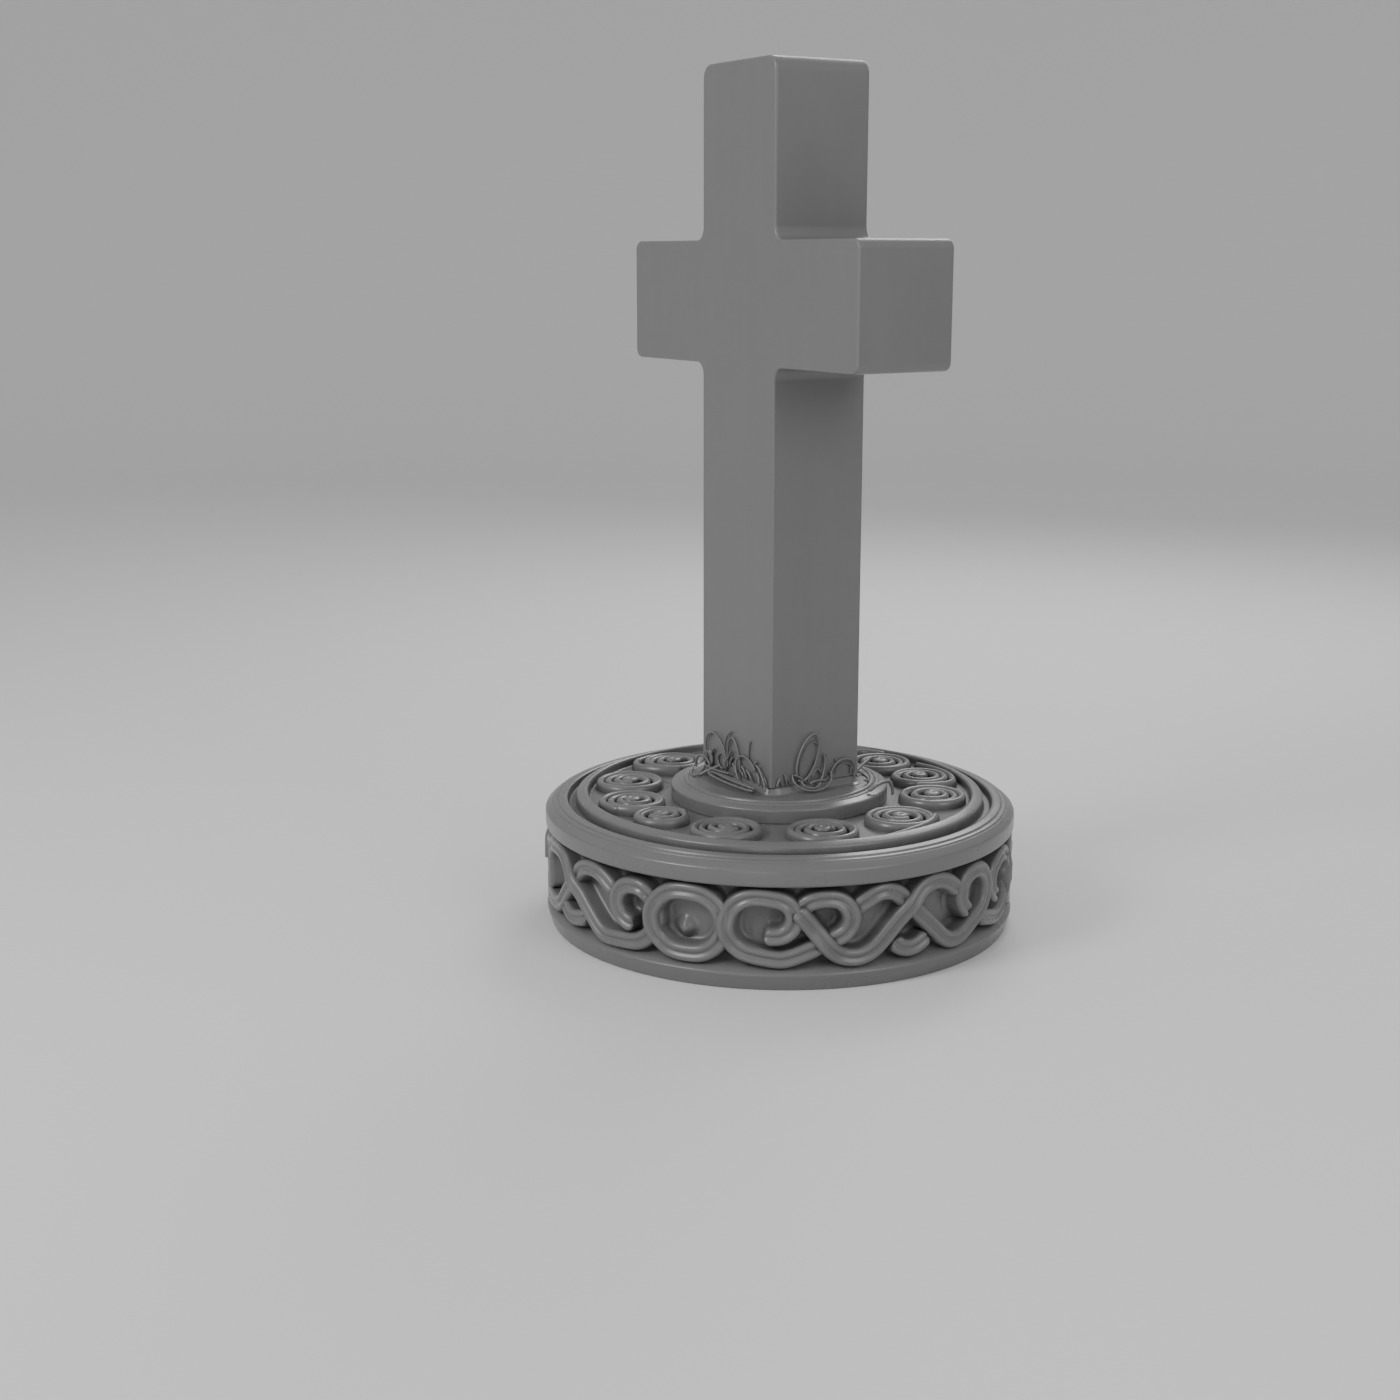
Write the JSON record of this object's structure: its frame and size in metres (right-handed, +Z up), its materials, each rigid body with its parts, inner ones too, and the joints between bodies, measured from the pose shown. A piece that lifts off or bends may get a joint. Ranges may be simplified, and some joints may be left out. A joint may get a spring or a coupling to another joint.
{
  "type": "memorial cross on a carved round plinth",
  "caption": "Plain Latin cross on a low stepped round block and a drum plinth carved with interlaced ribbons round its wall and coiled discs on its top.",
  "frame": {"origin": "centre of the underside of the plinth, on the ground", "axes": "+Z up, the arms of the cross along X, its broad face to -Y"},
  "size_m": [0.794, 0.7996, 1.4],
  "materials": {
    "cross_stone": "grey stone, dressed smooth and worn to a soft sheen",
    "plinth_stone": "grey stone, carved and polished by wear, with darker dirt in the hollows"
  },
  "bodies": {
    "root": {"cross": "cross_stone", "socle": "plinth_stone", "plinth": "plinth_stone"}
  },
  "joints": []
}
